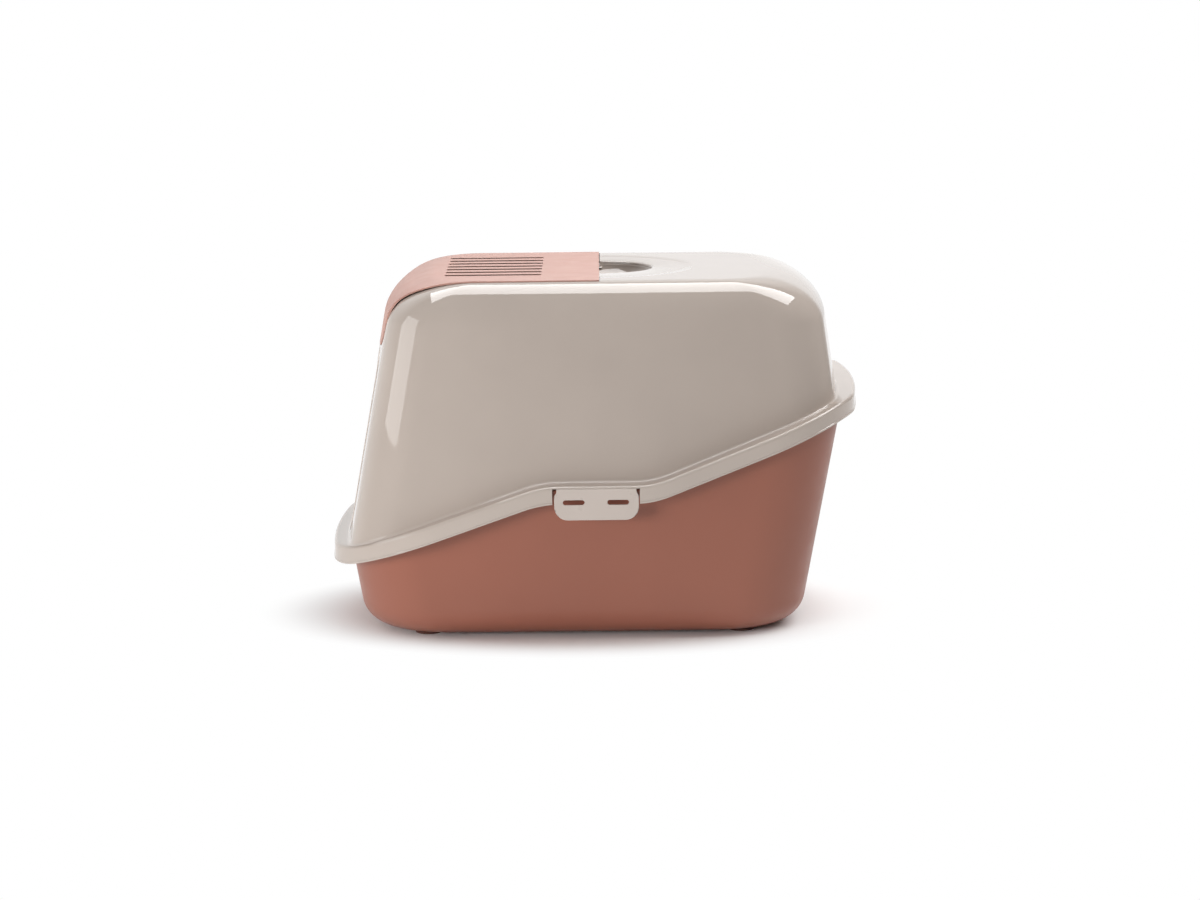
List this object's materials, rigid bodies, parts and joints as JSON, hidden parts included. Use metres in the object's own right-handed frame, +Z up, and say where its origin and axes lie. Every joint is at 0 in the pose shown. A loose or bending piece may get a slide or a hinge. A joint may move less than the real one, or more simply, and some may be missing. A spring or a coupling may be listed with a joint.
{
  "type": "cat litter box with hood",
  "caption": "Hooded cat litter box: deep round-cornered pan, lift-off hood with a sloping rim, side clips, a swing door and a vented filter cover on its top front corner.",
  "frame": {"origin": "on the floor, under the middle of the box", "axes": "+X to the rear, -X to the entrance, +Y to the left side, +Z up"},
  "size_m": [0.56, 0.3906, 0.376],
  "materials": {
    "pan_plastic": "satin, moulded terracotta polypropylene",
    "hood_plastic": "glossy, warm grey",
    "clip_plastic": "semi-gloss, warm grey",
    "cover_plastic": "fine matte, dusty rose",
    "frame_plastic": "fine matte, dusty rose",
    "door_plastic": "clear, smoke tinted, polished",
    "tray_plastic": "matte, warm grey",
    "filter_foam": "open-cell carbon foam, matte",
    "foot_rubber": "matte, dark brown"
  },
  "bodies": {
    "base": {"base_pan": "pan_plastic", "foot_front_right": "foot_rubber", "foot_front_left": "foot_rubber", "foot_rear_right": "foot_rubber", "foot_rear_left": "foot_rubber"},
    "hood": {"hood_shell": "hood_plastic", "door_frame": "frame_plastic", "filter_tray": "tray_plastic", "carbon_filter": "filter_foam"},
    "cover": {"filter_cover": "cover_plastic"},
    "door": {"swing_door": "door_plastic"},
    "clip_right": {"side_clip_right": "clip_plastic"},
    "clip_left": {"side_clip_left": "clip_plastic"}
  },
  "joints": [
    {"name": "hood_lift", "type": "slide", "parent": "base", "child": "hood", "axis": [0, 0, 1], "range_m": [0, 0.15]},
    {"name": "cover_hinge", "type": "hinge", "parent": "hood", "child": "cover", "pos_m": [-0.2273, 0, 0.303], "axis": [0, -1, 0], "range_deg": [0, 110]},
    {"name": "door_swing", "type": "hinge", "parent": "hood", "child": "door", "pos_m": [-0.222, 0, 0.266], "axis": [0, 1, 0], "range_deg": [-60, 60]},
    {"name": "clip_right_hinge", "type": "hinge", "parent": "hood", "child": "clip_right", "pos_m": [0, -0.1953, 0.1683], "axis": [-1, 0, 0], "range_deg": [0, 90]},
    {"name": "clip_left_hinge", "type": "hinge", "parent": "hood", "child": "clip_left", "pos_m": [0, 0.1953, 0.1683], "axis": [1, 0, 0], "range_deg": [0, 90]}
  ]
}
